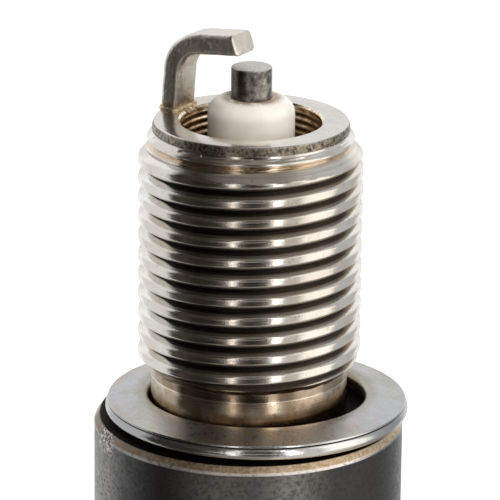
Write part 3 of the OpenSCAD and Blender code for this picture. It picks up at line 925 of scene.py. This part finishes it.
def terminal_nut(material):
    """Knurled base, neck and round head, with a blind bore for the stud."""
    angles = even_columns(360)
    knurls, knurl_depth = 45, 0.07
    base_r, neck_r, bore_r, bore_h = 3.75, 2.75, 2.0, 7.5
    neck_top = NUT_TOP - 1.5
    neck_foot = neck_top - 2.1
    rim = base_r - knurl_depth * (0.5 - 0.5 * np.cos(angles * knurls)) ** 0.8
    outline = (
        [(0.0, NUT_TOP - bore_h)]
        + rounded([(bore_r, NUT_TOP - bore_h), (bore_r, NUT_TOP - 0.25),
                   (bore_r + 0.2, NUT_TOP, 0.05), (base_r - 0.25, NUT_TOP)])
        + [(rim - 0.12, NUT_TOP - 0.06), (rim, NUT_TOP - 0.22), (rim, NUT_TOP - 0.7),
           (rim, neck_top + 0.3), (rim - 0.12, neck_top + 0.12)]
        + rounded([
            (base_r - 0.3, neck_top), (neck_r, neck_top - 0.1, 0.3), (neck_r, neck_foot, 0.3),
            (TERMINAL_R, neck_foot - 0.35, 0.12), (TERMINAL_R, NUT_FOOT + 0.5, 0.2),
            (TERMINAL_R - 0.5, NUT_FOOT, 0.15), (0.0, NUT_FOOT)
        ])
    )
    made = piece(
        "terminal_nut_skin", *joined(lathe(outline, angles)), [material], "terminal_nut",
        sharp=50.0
    )
    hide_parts("terminal_nut")


def inner_pieces():
    """The sealed pieces keep their CAD shape and get a material each."""
    steel = grainy("packing_steel", (0.55, 0.53, 0.50), (0.38, 0.36, 0.34), 1.0, 0.38, 6.0)
    glass = grainy("conductive_glass", (0.36, 0.32, 0.27), (0.14, 0.11, 0.09), 0.2, 0.45, 5.0)
    copper = grainy("copper", (0.90, 0.52, 0.36), (0.60, 0.30, 0.19), 1.0, 0.30, 4.0)
    talc = grainy("talc", (0.84, 0.81, 0.74), (0.66, 0.62, 0.55), 0.0, 0.85, 5.0)
    mix = grainy("resistor_mix", (0.10, 0.10, 0.10), (0.03, 0.03, 0.03), 0.0, 0.6, 7.0)
    looks = {
        "copper_core": copper,
        "seat_washer": steel,
        "lower_packing_ring": steel,
        "upper_packing_ring": steel,
        "talc_seal": talc,
        "lower_glass_seal": glass,
        "upper_glass_seal": glass,
        "resistor": mix,
    }
    for name, material in looks.items():
        mesh = frame["nodes"][name].data
        mesh.materials.clear()
        mesh.materials.append(material)


# ---------------------------------------------------------------- stage

def floor():
    """Wide white floor, low enough for the terminal nut to come off."""
    half = 3.0
    level = NUT_FOOT * MM - NUT_TRAVEL - 0.0001
    mesh = bpy.data.meshes.new("floor")
    mesh.from_pydata([(-half, -half, level), (half, -half, level), (half, half, level),
                      (-half, half, level)], [], [(0, 1, 2, 3)])
    material = bpy.data.materials.new("floor_white")
    material.use_nodes = True
    g = Graph(material.node_tree)
    g.surface(Base_Color=(0.85, 0.85, 0.85), Roughness=0.9,
              Emission_Color=(1.0, 1.0, 1.0), Emission_Strength=0.62)
    mesh.materials.append(material)
    thing = bpy.data.objects.new("floor", mesh)
    bpy.context.scene.collection.objects.link(thing)
    thing.visible_glossy = False


def studio():
    """World light: white walls beside and behind the plug, a dim warm room in front, soft panels
    and a table. Directions are azimuth (0 towards the camera, positive to the right) and height,
    in degrees."""
    world = bpy.data.worlds.new("studio")
    world.use_nodes = True
    bpy.context.scene.world = world
    g = Graph(world.node_tree)
    way = g.node("ShaderNodeTexCoord").outputs["Generated"]
    x, y, z = g.node("ShaderNodeSeparateXYZ", {0: way}).outputs
    degrees = 360.0 / TAU
    azimuth = g.times(g.math("ARCTAN2", x, g.times(y, -1.0)), degrees)
    height = g.times(g.math("ARCSINE", z), degrees)
    clutter = g.noise(way, 2.3, 3.0, 0.6)

    def span(value, centre, half, soft):
        """1 within half of the centre, with a soft edge."""
        return g.smooth(g.apart(value, centre), half - soft, half + soft, 1.0, 0.0)

    def panel(colour, strength, at, half, soft, up, up_half, up_soft):
        """Soft panel: its middle, half width and soft edge in azimuth, and the same in height."""
        mask = g.times(span(azimuth, at, half, soft), span(height, up, up_half, up_soft))
        return mask, tuple(c * strength for c in colour)

    room = g.mix(g.smooth(clutter, 0.4, 0.62), (0.022, 0.019, 0.016), (0.060, 0.050, 0.042))
    glow = g.math("MAXIMUM", span(azimuth, 26.0, 13.0, 8.0), span(azimuth, -17.5, 10.0, 6.0))
    room = g.mix(glow, room, (0.13, 0.11, 0.09))
    horizon = g.times(span(height, 2.0, 4.0, 3.0), span(azimuth, 5.0, 36.0, 8.0))
    room = g.mix(g.times(horizon, 0.8), room, (0.80, 0.80, 0.80))
    # the ceiling starts lower at the right than at the left
    at_right = g.smooth(azimuth, -10.0, 10.0)
    rise_left = g.smooth(height, 60.0, 82.0)
    rise_right = g.smooth(height, 35.0, 75.0)
    rise = g.plus(rise_left, g.times(at_right, g.math("SUBTRACT", rise_right, rise_left)))
    ceiling = g.mix(rise, room, (0.26, 0.235, 0.21))
    # white walls stand beside and behind the plug, and are dimmer at the right
    aside = g.math("ABSOLUTE", azimuth)
    raised = g.times(g.math("MAXIMUM", g.math("SUBTRACT", height, 26.0), 0.0), 1.1)
    left = g.smooth(g.plus(azimuth, raised), -94.0, -87.0, 0.86, 0.0)
    right = g.smooth(azimuth, 92.0, 102.0, 0.0, 0.55)
    behind = g.smooth(aside, 120.0, 150.0)
    walls = g.math("MAXIMUM", g.math("MAXIMUM", left, right), g.times(behind, 1.12))
    walls = g.math("SUBTRACT", walls, g.smooth(aside, 150.0, 168.0, 0.0, 0.27))
    wall_top = g.smooth(azimuth, -10.0, 10.0, 44.0, 50.0)
    wall_soft = g.smooth(azimuth, -10.0, 10.0, 7.0, 30.0)
    low = g.math("DIVIDE", g.math("SUBTRACT", height, wall_top), wall_soft)
    beside = g.times(g.smooth(aside, 87.0, 92.0), g.smooth(low, 0.0, 1.0, 1.0, 0.0))
    sky = g.mix(beside, ceiling, g.vector(walls, walls, walls))
    panels = [
        panel((1.0, 0.94, 0.87), 1.35, 74.0, 22.0, 3.0, -5.0, 62.0, 12.0),
        panel((1.0, 0.93, 0.85), 0.60, 44.0, 9.0, 6.0, -5.0, 62.0, 12.0),
        panel((1.0, 0.97, 0.94), 2.6, 28.0, 4.5, 3.0, 14.0, 43.0, 10.0),
        panel((1.0, 0.94, 0.88), 2.0, -17.5, 2.6, 2.2, 14.0, 43.0, 10.0),
    ]
    for mask, colour in panels:
        sky = g.mix(mask, sky, colour)
    # below, the table is dim at the left of the plug and bright at the right
    table = g.smooth(azimuth, -50.0, -40.0, 0.05, 0.25)
    table = g.plus(table, g.smooth(azimuth, 14.0, 24.0, 0.0, 0.43))
    table = g.math("SUBTRACT", table, g.smooth(azimuth, 90.0, 100.0, 0.0, 0.30))
    table = g.plus(table, g.smooth(azimuth, -94.0, -87.0, 0.70, 0.0))
    warm = g.mix(g.smooth(azimuth, -92.0, -80.0), (1.0, 1.0, 1.0), (1.0, 0.92, 0.82))
    lit = g.mix(1.0, warm, g.vector(table, table, table), "MULTIPLY")
    sky = g.mix(g.smooth(height, -36.0, -24.0, 1.0, 0.0), sky, lit)
    shade = g.node("ShaderNodeBackground", {"Color": sky, "Strength": 1.0})
    g.node("ShaderNodeOutputWorld", {"Surface": shade.outputs[0]})


def soft_light(name, place, size, power, colour):
    """A square area light facing the plug, seen only by what it lights."""
    data = bpy.data.lights.new(name, "AREA")
    data.shape = "SQUARE"
    data.size = size
    data.energy = power
    data.color = colour
    light = bpy.data.objects.new(name, data)
    light.location = place
    light.rotation_euler = (-Vector(place)).to_track_quat("-Z", "Y").to_euler()
    light.visible_camera = False
    light.visible_glossy = False
    bpy.context.scene.collection.objects.link(light)


def camera():
    """Long lens, a quarter metre away, looking down on the firing end."""
    target = Vector((0.0, 0.0, 10.75 * MM))
    distance = 0.25
    elevation = math.radians(18.3)
    roll = math.radians(0.56)
    back = Vector((0.0, -math.cos(elevation), math.sin(elevation)))
    over = Vector((0.0, math.sin(elevation), math.cos(elevation)))
    side = Vector((1.0, 0.0, 0.0))
    right = side * math.cos(roll) + over * math.sin(roll)
    up = over * math.cos(roll) - side * math.sin(roll)
    data = bpy.data.cameras.new("camera")
    data.sensor_width = 36.0
    data.lens = 289.8
    data.clip_start = 0.01
    thing = bpy.data.objects.new("camera", data)
    place = target + back * distance
    facing = Matrix((right, up, back)).transposed().to_4x4()
    thing.matrix_world = Matrix.Translation(place) @ facing
    bpy.context.scene.collection.objects.link(thing)
    bpy.context.scene.camera = thing


camera()
studio()
soft_light("key", place=(0.10, -0.30, 0.42), size=0.16, power=1.6, colour=(1.0, 0.96, 0.92))
floor()
shell()
gasket()
ground_electrode()
centre_electrode()
insulator()
plate = bright_plate()
terminal_stud(plate)
terminal_nut(plate)
inner_pieces()

bpy.context.scene.view_settings.view_transform = "Standard"
